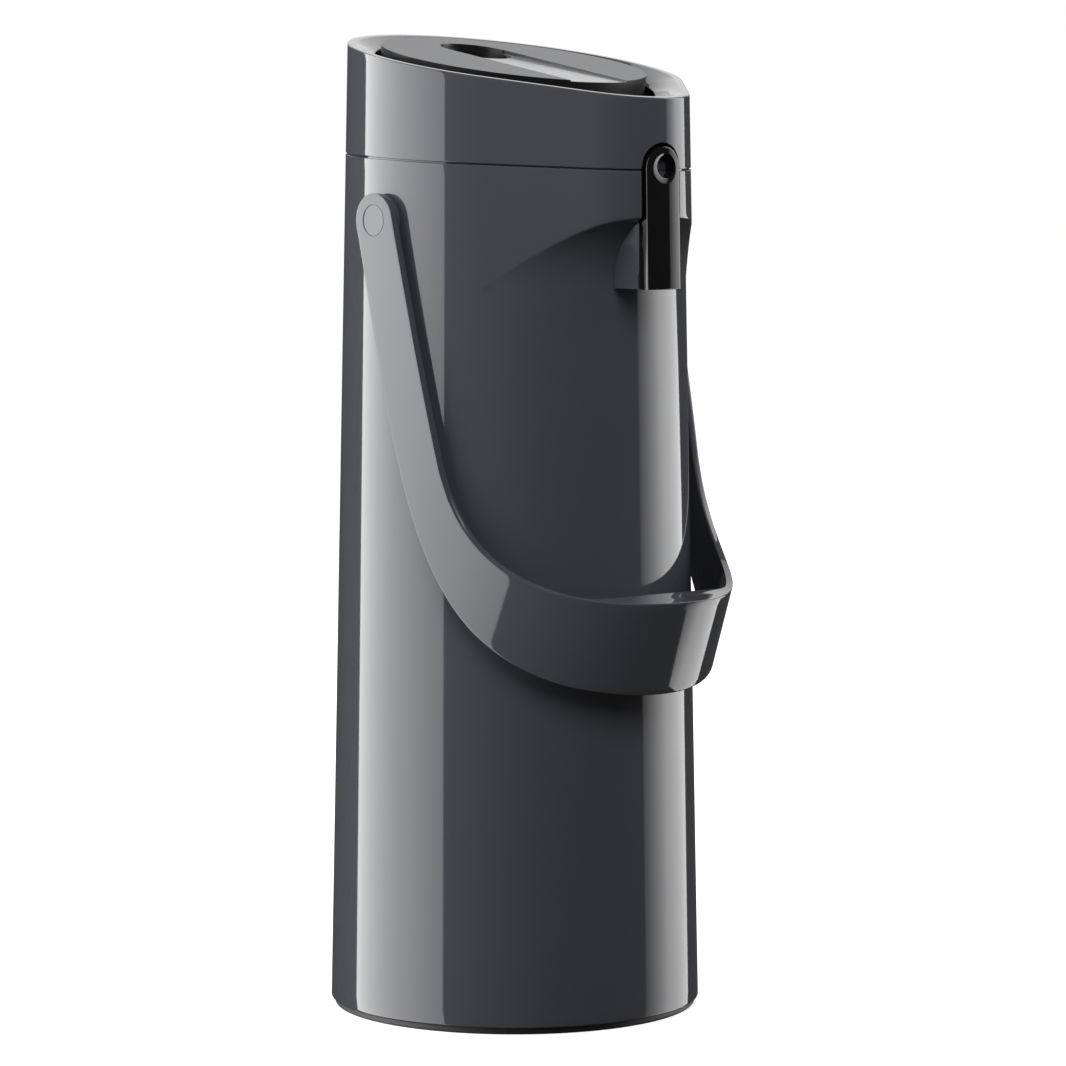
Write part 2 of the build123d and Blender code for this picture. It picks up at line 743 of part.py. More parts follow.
def press_button():
    top = button_height
    solid = button_wall(0) & below(top, button_slope)
    solid -= below(top - button_skirt, button_slope)
    hollow = button_wall(button_skirt_wall) & below(top - button_deck, button_slope)
    button = solid - hollow
    boss = disc(button_boss_radius, bellows_top + bellows_cap_thickness, top)
    button += boss & below(top - button_deck / 2, button_slope)
    back = -finger_hole_back
    front = far
    slope_rise = lambda u, depth: (u, top - button_slope * u - depth)
    edge = button_radius
    fall = (groove_depth_front - groove_depth_back) / (edge - back)
    far_depth = groove_depth_front + fall * (front - edge)
    wedge = make_face(Polyline(slope_rise(back, groove_depth_back), slope_rise(front, far_depth),
                               (front, top + 20), (back, top + 20), close=True))
    button -= side_prism(wedge, groove_half_width)
    button -= disc(finger_hole_radius, 340, 400, u=back)
    return button


def finger_cup():
    """The dark cup that lines the finger hole."""
    outer = disc(finger_hole_radius - 0.05, cup_floor_height, 400, u=-finger_hole_back)
    outer &= below(button_height - groove_depth_back - 0.2, button_slope)
    inner = disc(finger_hole_radius - 0.05 - cup_wall, cup_floor_height + cup_wall, 401, u=-finger_hole_back)
    return outer - inner


def build():
    return {
        "outer_casing": outer_casing(),
        "base_cap": base_cap(),
        "base_screws": base_screws(),
        "foot_pad": foot_pad(),
        "flask_cushion": flask_cushion(),
        "flask_outer": flask_outer(),
        "flask_inner": flask_inner(),
        "neck_gasket": neck_gasket(),
        "neck_collar": neck_collar(),
        "dip_tube": dip_tube(),
        "delivery_pipe": delivery_pipe(),
        "spout_nozzle": spout_nozzle(),
        "spout_hood": spout_hood(),
        "latch_bar": latch_bar(),
        "latch_pin": latch_pin(),
        "handle_band": handle_band(),
        "handle_pin_left": handle_pin(-1),
        "handle_pin_right": handle_pin(1),
        "handle_washer_left": handle_washer(-1),
        "handle_washer_right": handle_washer(1),
        "hinge_pin": hinge_pin(),
        "head_shell": head_shell(),
        "lid_deck": lid_deck(),
        "lid_screws": lid_screws(),
        "lid_gasket": lid_gasket(),
        "bellows": bellows(),
        "bellows_cap": bellows_cap(),
        "return_spring": return_spring(),
        "press_button": press_button(),
        "finger_cup": finger_cup(),
    }


os.makedirs("parts", exist_ok=True)
for name, shape in build().items():
    export_step(shape, f"parts/{name}.step")
    print(f"{name:22s} volume {shape.volume:12.1f}")
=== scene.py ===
# %% [markdown]
# A vacuum pump jug in gloss anthracite. Its look is almost all reflections, so every glossy
# skin is worked out here from its own formula, dense and smooth, and stands for the packed
# node of the same size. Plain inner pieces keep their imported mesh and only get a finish.

import json
from math import cos, pi, radians, sin

import bmesh
import bpy
import numpy as np
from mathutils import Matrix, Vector


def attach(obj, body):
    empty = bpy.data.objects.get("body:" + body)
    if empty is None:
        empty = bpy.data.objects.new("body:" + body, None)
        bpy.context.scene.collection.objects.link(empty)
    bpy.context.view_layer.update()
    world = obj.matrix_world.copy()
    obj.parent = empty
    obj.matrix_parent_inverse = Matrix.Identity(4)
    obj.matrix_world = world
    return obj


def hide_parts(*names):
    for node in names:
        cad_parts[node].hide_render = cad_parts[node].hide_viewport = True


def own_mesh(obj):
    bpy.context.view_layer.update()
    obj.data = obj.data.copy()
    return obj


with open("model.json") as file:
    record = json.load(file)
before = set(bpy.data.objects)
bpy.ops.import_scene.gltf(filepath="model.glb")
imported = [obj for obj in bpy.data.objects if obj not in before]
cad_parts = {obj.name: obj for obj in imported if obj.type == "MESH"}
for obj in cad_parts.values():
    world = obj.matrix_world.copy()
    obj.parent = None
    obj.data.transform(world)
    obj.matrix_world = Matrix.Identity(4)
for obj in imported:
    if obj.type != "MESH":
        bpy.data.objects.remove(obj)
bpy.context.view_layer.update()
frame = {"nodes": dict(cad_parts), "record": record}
packed = frame["nodes"]

# %% [markdown]
# Finishes come first. A colour is written as the hex value a picture editor shows, and one
# function turns it to the linear numbers the renderer works in.

# %% small helpers for objects, colours and nodes
def placed(name, data):
    """A new object in the scene, at the origin and unturned."""
    made = bpy.data.objects.new(name, data)
    bpy.context.scene.collection.objects.link(made)
    return made


def blank_tree(holder):
    """The emptied node tree of a material or of the world."""
    holder.use_nodes = True
    holder.node_tree.nodes.clear()
    return holder.node_tree


def linear(hex_colour):
    """sRGB hex to linear RGBA: the low part is a straight line, the rest a 2.4 power."""
    parts = [int(hex_colour[i:i + 2], 16) / 255 for i in (1, 3, 5)]
    return [c / 12.92 if c <= 0.04045 else ((c + 0.055) / 1.055) ** 2.4 for c in parts] + [1.0]


def add_node(tree, kind, inputs=None, **settings):
    """Adds one node with its settings; an input is given a value or the socket it is fed from."""
    made = tree.nodes.new(kind)
    for name, value in settings.items():
        setattr(made, name, value)
    for name, value in (inputs or {}).items():
        if isinstance(value, bpy.types.NodeSocket):
            tree.links.new(value, made.inputs[name])
        else:
            made.inputs[name].default_value = value
    return made


def finish_of(name, base, speck, roughness, uneven, metallic=0.0, ior=1.5, coat=0.0,
              coat_roughness=0.03, grain_mm=1.0, grain_height_mm=0.01, stretch=(1, 1, 1), soften=0.0):
    """A moulded, drawn or lacquered surface: two close colours, uneven gloss and a fine grain.

    The grain's noise scale is one over its real size in metres. Light that soaks into a soft
    plastic spreads evenly in all colours, over about a millimetre.
    """
    cloud_scale, soak_depth = 22.0, 0.001
    material = bpy.data.materials.new(name)
    tree = blank_tree(material)
    place = add_node(tree, "ShaderNodeTexCoord")
    turned = add_node(tree, "ShaderNodeMapping", {"Vector": place.outputs["Object"], "Scale": stretch})
    cloud = add_node(tree, "ShaderNodeTexNoise",
                     {"Vector": turned.outputs[0], "Scale": cloud_scale, "Detail": 3.0})
    grain = add_node(tree, "ShaderNodeTexNoise",
                     {"Vector": turned.outputs[0], "Scale": 1000.0 / grain_mm, "Detail": 2.0})
    tint = add_node(tree, "ShaderNodeMix",
                    {"Factor": cloud.outputs["Fac"], "A": linear(base), "B": linear(speck)}, data_type="RGBA")
    gloss = add_node(tree, "ShaderNodeMapRange",
                     {"Value": cloud.outputs["Fac"], "To Min": roughness - uneven,
                      "To Max": roughness + uneven})
    bump = add_node(tree, "ShaderNodeBump",
                    {"Height": grain.outputs["Fac"], "Distance": grain_height_mm / 1000, "Strength": 1.0})
    shader = add_node(tree, "ShaderNodeBsdfPrincipled",
                      {"Base Color": tint.outputs[2], "Roughness": gloss.outputs[0], "Metallic": metallic,
                       "IOR": ior, "Coat Weight": coat, "Coat Roughness": coat_roughness,
                       "Normal": bump.outputs[0], "Subsurface Weight": soften,
                       "Subsurface Radius": (1.0, 1.0, 1.0), "Subsurface Scale": soak_depth})
    add_node(tree, "ShaderNodeOutputMaterial", {"Surface": shader.outputs[0]})
    return material


# %% [markdown]
# The casing, lid, keel and carrying band are moulded ABS with a high-gloss anthracite lacquer:
# nearly black glass to the eye, with sharp mirror-like bands of light and only the faintest
# unevenness. The latch bar is the same plastic in black. The press plate is left satin, so its
# lights are wide and soft, but the groove that runs from its finger hole is polished.

# %% the finishes, each named for what it is
gloss_abs = finish_of("gloss_lacquered_abs", "#3d3e42", "#3f4044", 0.055, 0.006,
                      grain_mm=7.0, grain_height_mm=0.0006)
gloss_black = finish_of("gloss_black_abs", "#0b0b0c", "#0d0d0e", 0.05, 0.005,
                        grain_mm=7.0, grain_height_mm=0.0006)
satin_abs = finish_of("satin_moulded_abs", "#4a4b4e", "#4d4e51", 0.42, 0.02, ior=1.36,
                      grain_mm=0.7, grain_height_mm=0.004)
polished_abs = finish_of("polished_moulded_abs", "#4e4f52", "#515255", 0.18, 0.02,
                         grain_mm=3.0, grain_height_mm=0.001)
# Black ABS for the black inner pieces; also laid on the well's wall and the plate's skirt as painted shade.
black_abs_and_painted_shade = finish_of("black_spark_finished_abs_and_painted_shade", "#0e0e0f", "#121213", 0.38, 0.04,
                      grain_mm=0.6, grain_height_mm=0.01)
natural_pp = finish_of("natural_polypropylene", "#d9d8d2", "#d2d1cb", 0.42, 0.04,
                       grain_mm=1.2, grain_height_mm=0.008, soften=0.1)
black_rubber = finish_of("black_nitrile_rubber", "#161617", "#1b1b1c", 0.62, 0.05,
                         grain_mm=0.8, grain_height_mm=0.02)
pale_silicone = finish_of("pale_silicone_rubber", "#c9c8c1", "#c2c1ba", 0.5, 0.04,
                          grain_mm=0.9, grain_height_mm=0.01, soften=0.2)
silvered_glass = finish_of("silvered_flask_glass", "#c8ccd0", "#bfc4c9", 0.07, 0.02, metallic=1.0,
                           coat=1.0, grain_mm=9.0, grain_height_mm=0.01)
drawn_steel = finish_of("drawn_stainless_steel", "#b9bab8", "#aeafad", 0.27, 0.05, metallic=1.0,
                        grain_mm=0.5, grain_height_mm=0.003, stretch=(1, 1, 0.1))
print("finishes", len(bpy.data.materials))

# %% [markdown]
# The outer form is one idea: seen from above it is a circle, the jug's body, joined by straight
# tangents to a smaller circle, the nose. Both shrink a little with height, as a moulding must.
# Under the nose a hollow curve turns about the jug's axis and carries the wall back to the
# round body. Distances are in millimetres, u is the distance forward, which is -Y.

# %% driving sizes of the outer form
base_radius, draft = 73.2, 0.0201
nose_centre, nose_radius, seam_height, seam_slope, seam_gap = 52.4, 33.2, 334.8, 0.050, 0.55
lip_inset, lip_rise, lip_play = 1.35, 1.3, 0.2    # the casing's inner lip, which closes the seam
cove_start, cove_radius = 287.0, 26.5
rim_height, rim_slope, rim_land = 372.9, 0.1765, 3.2
dish_depth, dish_slope, casing_wall, casing_bottom = 5.0, 0.2228, 2.5, 2.6
well_radius, well_wall, well_depth = 54.8, 1.5, 6.0
bar_half_width, bar_top_centre, bar_bottom = 8.4, 331.2, 285.4
bar_proud, bar_thickness, bar_eye_radius = 1.2, 4.4, 5.75
eye_dish_depth, eye_hole_radius, eye_hole_shift = 0.85, 4.3, (1.1, 0.7)
slot_half, slot_floor, keeper_back = 9.9, 80.6, 78.2
window_half = 18.8             # half width of the opening for the lid hinge at the back


def body_r(z):
    return base_radius - draft * z


def nose_r(z):
    return nose_radius - draft * (z - seam_height)


def turn(z):
    """Angle from straight ahead at which the tangents leave both circles."""
    return np.arccos((body_r(z) - nose_r(z)) / nose_centre)


# %% [markdown]
# A skin is a grid: columns go round the plan and rows go up. Each column has a kind, either
# the slot's front, the nose's arc, the straight tangent or the body's arc, and a share along
# it, so that the edges of the slot and of the hinge's opening fall exactly on columns.

# %% columns round the plan
def half_columns():
    front = [(0, w) for w in np.linspace(0, 1, 10)]
    nose = [(1, v) for v in np.linspace(0, 1, 34)]
    side = [(2, f) for f in np.linspace(0, 1, 22)[1:]]
    body = [(3, g) for g in np.linspace(0, 1, 90)[1:]]
    back = [(4, g) for g in np.linspace(0, 1, 14)[1:]]
    return front + nose + side + body + back


half = half_columns()
kind = np.array([k for k, _ in half] + [k for k, _ in half[-2:0:-1]])
share = np.array([s for _, s in half] + [s for _, s in half[-2:0:-1]])
sign = np.array([1.0] * len(half) + [-1.0] * (len(half) - 2))
print("columns", len(kind))


def plan(z, inset=0.0):
    """The plan at height z, moved in by inset: x, u and the wall's facing angle, per column."""
    big, small, t = body_r(z) - inset, nose_r(z) - inset, turn(z)
    edge = np.arcsin(np.clip(slot_half / nose_r(z), -1, 1))
    window = pi - np.arcsin(window_half / body_r(z))
    face = np.select(
        [kind == 0, kind == 1, kind == 2, kind == 3],
        [np.arcsin(np.clip(slot_half * share / nose_r(z), -1, 1)), edge + share * (t - edge), t + 0 * share,
         t + share * (window - t)], window + share * (pi - window))
    on_nose = np.where(kind == 2, 1 - share, (kind < 2) * 1.0)
    radius = on_nose * small + (1 - on_nose) * big
    x = radius * np.sin(face)
    u = radius * np.cos(face) + on_nose * nose_centre
    return x * sign, u, face * sign


def at(z, inset=0.0):
    """Points of the plan outline at height z, which may differ per column: (columns, 3)."""
    x, u, _ = plan(z, inset)
    return np.stack([x, -u, z + 0 * x], axis=-1)


def level(height, slope, inset=0.0):
    """Height at which each column meets the plane z = height - slope * u."""
    z = np.full(len(kind), float(height))
    for _ in range(5):
        z = height - slope * plan(z, inset)[1]
    return z


def corner(a, b, c, steps):
    """A small round corner: the quadratic curve that leaves a towards b and arrives at c."""
    t = np.linspace(0, 1, steps)[:, None, None]
    return (1 - t) ** 2 * a + 2 * t * (1 - t) * b + t ** 2 * c


def between(a, b, steps):
    t = np.linspace(0, 1, steps)[:, None, None]
    return a + t * (b - a)


def recessed(points, u_limit):
    """Pushes the slot's columns back to its flat floor."""
    moved = points.copy()
    inside = kind == 0
    moved[..., inside, 0] = (slot_half * share * sign)[inside]
    moved[..., inside, 1] = -u_limit
    return moved


# %% [markdown]
# One function turns any grid of points into a mesh.
# Coincident points are merged, the faces are turned outwards and only real corners stay sharp.
# Rows close on themselves. Columns do too, save on the open-ended carrying band.

# %% from a grid of points to a piece
def piece_from_grid(name, grid, close_columns=True, skip=None):
    """grid is (rows, columns, 3) in millimetres; skip marks faces to leave open."""
    rows, columns = grid.shape[:2]
    index = np.arange(rows * columns).reshape(rows, columns)
    r = np.arange(rows)
    c = np.arange(columns if close_columns else columns - 1)
    r2, c2 = (r + 1) % rows, (c + 1) % columns
    quads = np.stack([index[np.ix_(r, c)], index[np.ix_(r, c2)],
                      index[np.ix_(r2, c2)], index[np.ix_(r2, c)]], axis=-1)
    if skip is not None:
        quads = quads[~skip[:len(r), :len(c)]]
    mesh = bpy.data.meshes.new(name)
    mesh.from_pydata((grid.reshape(-1, 3) / 1000).tolist(), [], quads.reshape(-1, 4).tolist())
    return tidy(name, mesh)


def tidy(name, mesh, sharp_degrees=35, turn_out=True, merge_mm=0.004):
    shaped = bmesh.new()
    shaped.from_mesh(mesh)
    bmesh.ops.remove_doubles(shaped, verts=shaped.verts, dist=merge_mm / 1000)
    bmesh.ops.dissolve_degenerate(shaped, edges=shaped.edges, dist=1e-6)
    if turn_out:
        bmesh.ops.recalc_face_normals(shaped, faces=shaped.faces)
    shaped.to_mesh(mesh)
    shaped.free()
    mesh.polygons.foreach_set("use_smooth", [True] * len(mesh.polygons))
    mesh.set_sharp_from_angle(angle=radians(sharp_degrees))
    return placed(name, mesh)


def finish_piece(obj, material, slot_name, body, *stands_for):
    obj.data.materials.clear()
    obj.data.materials.append(material)
    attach(obj, body)
    if stands_for:
        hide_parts(*stands_for)
    print(obj.name, "faces", len(obj.data.polygons))
    return obj


# %% [markdown]
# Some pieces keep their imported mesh, which is a heap of loose triangles. A copy of it is
# merged, its flat and round faces are told apart by angle, and a fine bevel catches the light
# along its edges, as the small radius of a moulding does.

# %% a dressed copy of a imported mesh
def dressed_copy(name, node, bevel_mm=0.0, keep=None, sharp_degrees=28):
    """A merged copy of a node's mesh; keep(points) says which triangles stay, from their corners."""
    source = packed[node].data
    points = np.empty(len(source.vertices) * 3)
    source.vertices.foreach_get("co", points)
    points = points.reshape(-1, 3) * 1000
    source.calc_loop_triangles()
    corners = np.empty(len(source.loop_triangles) * 3, dtype=int)
    source.loop_triangles.foreach_get("vertices", corners)
    corners = corners.reshape(-1, 3)
    if keep is not None:
        corners = corners[keep(points)[corners].all(axis=1)]
    mesh = bpy.data.meshes.new(name)
    mesh.from_pydata((points / 1000).tolist(), [], corners.tolist())
    shaped = bmesh.new()
    shaped.from_mesh(mesh)
    loose = [v for v in shaped.verts if not v.link_faces]
    bmesh.ops.delete(shaped, geom=loose, context="VERTS")
    shaped.to_mesh(mesh)
    shaped.free()
    made = tidy(name, mesh, sharp_degrees, turn_out=False, merge_mm=0.002)
    if bevel_mm:
        rounding = made.modifiers.new("edge", "BEVEL")
        rounding.width = bevel_mm / 1000
        rounding.segments = 3
        rounding.limit_method = "ANGLE"
        rounding.angle_limit = radians(sharp_degrees)
        rounding.harden_normals = True
    return made


# %% [markdown]
# The casing's skin: a long cone, the hollow curve under the nose, then the upright wall up to
# the seam. Where the hollow meets the wall, each column finds the height at which both have
# the same distance from the axis, and a small round softens the line, which the eye reads as
# the arch over the spout.

# %% the casing
def cove_r(z):
    """Distance from the axis of the hollow curve: an arc tangent to the cone at its start."""
    centre_r = body_r(cove_start) + cove_radius
    centre_z = cove_start + cove_radius * draft
    return centre_r - np.sqrt(cove_radius ** 2 - (z - centre_z) ** 2)


def wall_reach(z):
    """Distance from the axis of each column's upright wall."""
    x, u, _ = plan(z)
    x = np.where(kind == 0, slot_half * share * sign, x)
    u = np.where(kind == 0, slot_floor, u)
    return np.hypot(x, u), np.arctan2(x, u)


def arch_heights():
    low, high = np.full(len(kind), cove_start), np.full(len(kind), 314.0)
    for _ in range(40):
        middle = (low + high) / 2
        above = cove_r(middle) > wall_reach(middle)[0]
        low, high = np.where(above, low, middle), np.where(above, middle, high)
    return high


def polar(radius, angle, z):
    return np.stack([radius * np.sin(angle), -radius * np.cos(angle), z + 0 * angle], axis=-1)


def casing_grid():
    arch = arch_heights()
    reach, angle = wall_reach(arch)
    angle = np.where((kind == 1) & (share == 0), sign * np.arctan2(slot_half, slot_floor), angle)
    soft = np.minimum(0.9, 0.45 * (arch - cove_start))
    steep = (arch - cove_start) / np.sqrt(np.maximum(cove_radius ** 2 - (arch - cove_start) ** 2, 1))
    hollow_end = arch - soft / np.sqrt(1 + steep ** 2)
    top = level(seam_height - seam_gap / 2, seam_slope)
    round_edge, foot_round = 0.45, 0.9
    wall_at = lambda z, inset=0.0: recessed(at(z, inset), slot_floor)
    z0 = casing_bottom
    rows = [
        between(polar(body_r(z0) - casing_wall, angle, z0), polar(body_r(z0) - foot_round, angle, z0), 2),
        corner(polar(body_r(z0) - foot_round, angle, z0), polar(body_r(z0), angle, z0),
               polar(body_r(z0 + foot_round), angle, z0 + foot_round), 6)[1:],
        np.array([polar(body_r(z), angle, z) for z in np.linspace(z0 + foot_round, cove_start, 60)[1:]]),
        np.array([polar(cove_r(z), angle, z)
                  for z in cove_start + np.linspace(0, 1, 40)[1:, None] * (hollow_end - cove_start)]),
        corner(polar(cove_r(hollow_end), angle, hollow_end), wall_at(arch), wall_at(arch + soft), 6)[1:],
        np.array([wall_at(z) for z in arch + soft + np.linspace(0, 1, 12)[1:, None]
                  * (top - round_edge - arch - soft)]),
        corner(wall_at(top - round_edge), wall_at(top),
               wall_at(level(seam_height - seam_gap / 2, seam_slope, round_edge), round_edge), 5)[1:],
    ]
    lip_low = level(seam_height - seam_gap / 2, seam_slope, lip_inset)
    lip_top = level(seam_height + lip_rise, seam_slope, casing_wall)
    rows += [recessed(at(lip_low, lip_inset), slot_floor - lip_inset)[None],
             recessed(at(lip_low + seam_gap / 2 + lip_rise, lip_inset), slot_floor - lip_inset)[None]]
    inner_top = recessed(at(lip_top, casing_wall), keeper_back)
    inner_low = recessed(at(np.full(len(kind), 322.0), casing_wall), keeper_back)
    rows += [inner_top[None], inner_low[None],
             polar(body_r(316.0) - casing_wall, angle, 316.0)[None],
             polar(body_r(150.0) - casing_wall, angle, 150.0)[None]]
    return np.concatenate(rows)


casing_points = casing_grid()
in_window = (kind == 4) | (np.roll(kind, -1) == 4)
heights = casing_points[..., 2]
open_back = in_window[None, :] & (kind >= 3)[None, :] & (np.minimum(heights, np.roll(heights, -1, 0)) > 329.0)
casing_skin = piece_from_grid("casing_skin", casing_points, skip=open_back)
finish_piece(casing_skin, gloss_abs, "gloss_anthracite", "jug", "outer_casing")


# %% [markdown]
# The lid's skin runs from the seam up the same plan, over a narrow flat rim that slopes
# forward, down a shallow dish and into the round well that the press plate sits in. The dish
# is ruled: a straight line on it joins the rim's inner edge to the well's mouth.

# %% the lid
def well_mouth(drop=0.0, radius=well_radius):
    """The well's circle on the dish's floor plane, at the angle each column of the plan meets."""
    z = np.full(len(kind), rim_height)
    t = turn(rim_height)
    face = np.abs(plan(z)[2])
    angle = np.select([kind < 2, kind == 2], [0.6 * face, t * (0.6 + 0.8 * share)],
                      1.4 * t + (face - t) / (pi - t) * (pi - 1.4 * t)) * sign
    u = radius * np.cos(angle)
    return np.stack([radius * np.sin(angle), -u, rim_height - dish_depth - dish_slope * u - drop], axis=-1)


def toward(a, b, distance):
    """The point that far from a in the direction of b."""
    way = b - a
    return a + way / np.linalg.norm(way, axis=-1, keepdims=True) * distance


def lid_grid():
    bottom = level(seam_height + seam_gap / 2, seam_slope)
    step = lip_inset - lip_play
    over_lip = lambda inset, rise, reach: recessed(
        at(level(seam_height + seam_gap / 2 + rise, seam_slope, inset), inset), reach)
    edge = 0.45
    arch = np.sqrt(np.maximum(slot_half ** 2 * (1 - share ** 2), 0))
    slot_top = np.where(kind == 0, bar_top_centre + arch, bar_top_centre)
    slot_top = np.maximum(slot_top, bottom + edge + 0.1)
    rim_z, rim_edge, rim_in = level(rim_height, rim_slope), 0.7, rim_land
    rim_at = lambda inset: at(level(rim_height, rim_slope, inset), inset)
    lip, mouth, soft = rim_at(rim_in), well_mouth(), 0.5
    back = lambda z, inset=0.0: recessed(at(z, inset), slot_floor)
    ceiling = at(level(rim_height - dish_depth - casing_wall, dish_slope, casing_wall), casing_wall)
    rows = [
        over_lip(casing_wall, lip_rise, keeper_back)[None],
        over_lip(step, lip_rise, slot_floor - step)[None],
        over_lip(step, 0.0, slot_floor - step)[None],
        corner(back(level(seam_height + seam_gap / 2, seam_slope, edge), edge), back(bottom),
               back(bottom + edge), 5),
        np.array([back(z) for z in bottom + edge
                  + np.linspace(0, 1, 5)[1:, None] * (slot_top - bottom - edge)]),
        np.array([at(z) for z in slot_top
                  + np.linspace(0, 1, 16)[:, None] * (rim_z - rim_edge - slot_top)]),
        corner(at(rim_z - rim_edge), at(rim_z), rim_at(rim_edge), 6)[1:],
        between(rim_at(rim_edge), rim_at(rim_in - soft), 4)[1:],
        corner(rim_at(rim_in - soft), lip, toward(lip, mouth, soft), 5)[1:],
        between(toward(lip, mouth, soft), toward(mouth, lip, soft), 22)[1:],
        corner(toward(mouth, lip, soft), mouth, well_mouth(soft), 5)[1:],
        between(well_mouth(soft), well_mouth(well_depth), 4)[1:],
        well_mouth(well_depth, well_radius + well_wall)[None],
        well_mouth(casing_wall + 0.2, well_radius + well_wall)[None],
        recessed(ceiling, keeper_back)[None],
    ]
    return np.concatenate(rows)


lid_points = lid_grid()
heights = lid_points[..., 2]
near_hinge = np.maximum(heights, np.roll(heights, -1, 0)) < 347.0
open_back = in_window[None, :] & (kind >= 3)[None, :] & near_hinge
lid_skin = piece_from_grid("lid_skin", lid_points, skip=open_back)
finish_piece(lid_skin, gloss_abs, "gloss_anthracite", "lid", "head_shell")


def face_values(mesh, name):
    """A vector property of all faces as rows."""
    values = np.empty(len(mesh.polygons) * 3)
    mesh.polygons.foreach_get(name, values)
    return values.reshape(-1, 3)


def other_finish(obj, material, mask):
    """Gives the masked faces a further finish."""
    which = np.empty(len(obj.data.polygons), dtype=np.int32)
    obj.data.polygons.foreach_get("material_index", which)
    which[mask] = len(obj.data.materials)
    obj.data.materials.append(material)
    obj.data.polygons.foreach_set("material_index", which)


dish_bottom = 345.0            # all of the well's wall is above it
middle, facing = face_values(lid_skin.data, "center") * 1000, face_values(lid_skin.data, "normal")
shaded_well = (np.hypot(middle[:, 0], middle[:, 1]) < well_radius + 0.3) & (middle[:, 2] > dish_bottom)
# The well's upright wall is painted black: painted shade, so the gap round the press plate stays dark.
other_finish(lid_skin, black_abs_and_painted_shade, shaded_well & (np.abs(facing[:, 2]) < 0.4))

# %% [markdown]
# The hinge's knuckles, the wall round them and the bosses behind the band's ends keep their
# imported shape, which has the real pin holes.

# %% knuckles and bosses
pivot_height, band_end = 311.3, 10.4        # the band's pivots and the radius of its round ends


def near_back(points):
    x, y, z = points.T
    return (np.abs(x) < window_half + 0.8) & (y > 60) & (z > 326) & (z < 349)


def near_boss(points):
    x, y, z = points.T
    return (np.abs(x) > 60) & (np.abs(y) < band_end) & (np.abs(z - pivot_height) < band_end)


for name, node, region, body in (("casing_knuckles", "outer_casing", near_back, "jug"),
                                 ("band_bosses", "outer_casing", near_boss, "jug"),
                                 ("lid_knuckle", "head_shell", near_back, "lid")):
    finish_piece(dressed_copy(name, node, keep=region), gloss_abs, "gloss_anthracite", body)

# %% [markdown]
# The carrying band is a moulded strap. In plan it follows the front half of an ellipse whose
# reach grows with height, so the strap leans forward. From the side its two edges are drawn
# curves. Along the arms a station of the strap is a chord between the two edges; round the
# front it is a straight line of the leaning ellipse. At each station a closed loop goes over
# the outer wall, the top, the inner wall and the underside, with gently rounded corners.

# %% the carrying band's side curves
band_half, band_thick = 72.1, 3.0
band_centre, band_level, band_reach, band_lean, grip_flat = -12.2, 170.0, 114.6, 0.417, 97.0
seat_radius, seat_floor = 6.05, 70.3        # the round seat of each pivot's flush head
front_angle, rear_angle = radians(13.8), radians(14.8)


def cubic(a, b, c, d, count):
    """A cubic Bezier curve's points."""
    t = np.linspace(0, 1, count)[:, None]
    return (1 - t) ** 3 * a + 3 * t * (1 - t) ** 2 * b + 3 * t ** 2 * (1 - t) * c + t ** 3 * d


def upper_curve():
    """The strap's front edge from the side: a line, a cubic curve and a level end."""
    down = np.array([sin(front_angle), -cos(front_angle)])
    start = np.array([band_end * cos(front_angle), pivot_height + band_end * sin(front_angle)])
    knee = start + 98.0 * down
    tip = np.array([103.0, 167.4])
    line = start + np.linspace(0, 1, 200)[:-1, None] * (knee - start)
    curve = cubic(knee, knee + 39.0 * down, tip - np.array([27.6, 0]), tip, 500)
    return np.concatenate([line, curve, tip[None] + np.array([[9.0, 0]])])


def lower_curve():
    """The strap's rear edge from the side: a cubic curve, then straight on past the front."""
    slope = radians(16.9)
    start = np.array([-band_end * cos(rear_angle), pivot_height - band_end * sin(rear_angle)])
    end = np.array([88.0, 129.9])
    ahead = np.array([cos(slope), -sin(slope)])
    first = start + 90.3 * np.array([sin(rear_angle), -cos(rear_angle)])
    return np.concatenate([cubic(start, first, end - 72.4 * ahead, end, 700), end[None] + 24 * ahead])


front_edge, rear_edge = upper_curve(), lower_curve()


def half_axis(z, depth=0.0):
    """Forward half axis of the ellipse at height z, for a wall set in by depth."""
    return band_reach + band_lean * (z - band_level) - depth


def wall_line(z, k, depth):
    """How far forward the wall stands at height z: k is the cosine of the station's angle. The
    inner wall turns softly from the ellipse into the flat back of the grip."""
    round_wall = k * half_axis(z, depth)
    flat = grip_flat + band_lean * (z - band_level)
    soft = 0.8
    met = flat - soft * np.logaddexp(0, (flat - round_wall) / soft)
    share = depth / band_thick
    return band_centre + (1 - share) * round_wall + share * np.where(round_wall < flat - 9, round_wall, met)


def meet(curve, k, depth):
    """Where a side curve crosses the wall's line, one point for each station."""
    ahead = curve[None, :, 0] - wall_line(curve[None, :, 1], k[:, None], depth)
    after = np.clip((ahead < 0).sum(axis=1), 1, len(curve) - 1)
    rows = np.arange(len(k))
    a, b = ahead[rows, after - 1], ahead[rows, after]
    t = (-a / (b - a))[:, None]
    return curve[after - 1] + t * (curve[after] - curve[after - 1])


def along(curve, end, count):
    """Evenly spaced points of a side curve from its start to the height of the point end."""
    before = np.concatenate([curve[curve[:, 1] > end[1] + 1e-6], end[None]])
    length = np.concatenate([[0], np.cumsum(np.linalg.norm(np.diff(before, axis=0), axis=1))])
    s = np.linspace(0, length[-1], count)
    return np.stack([np.interp(s, length, before[:, 0]), np.interp(s, length, before[:, 1])], axis=-1)


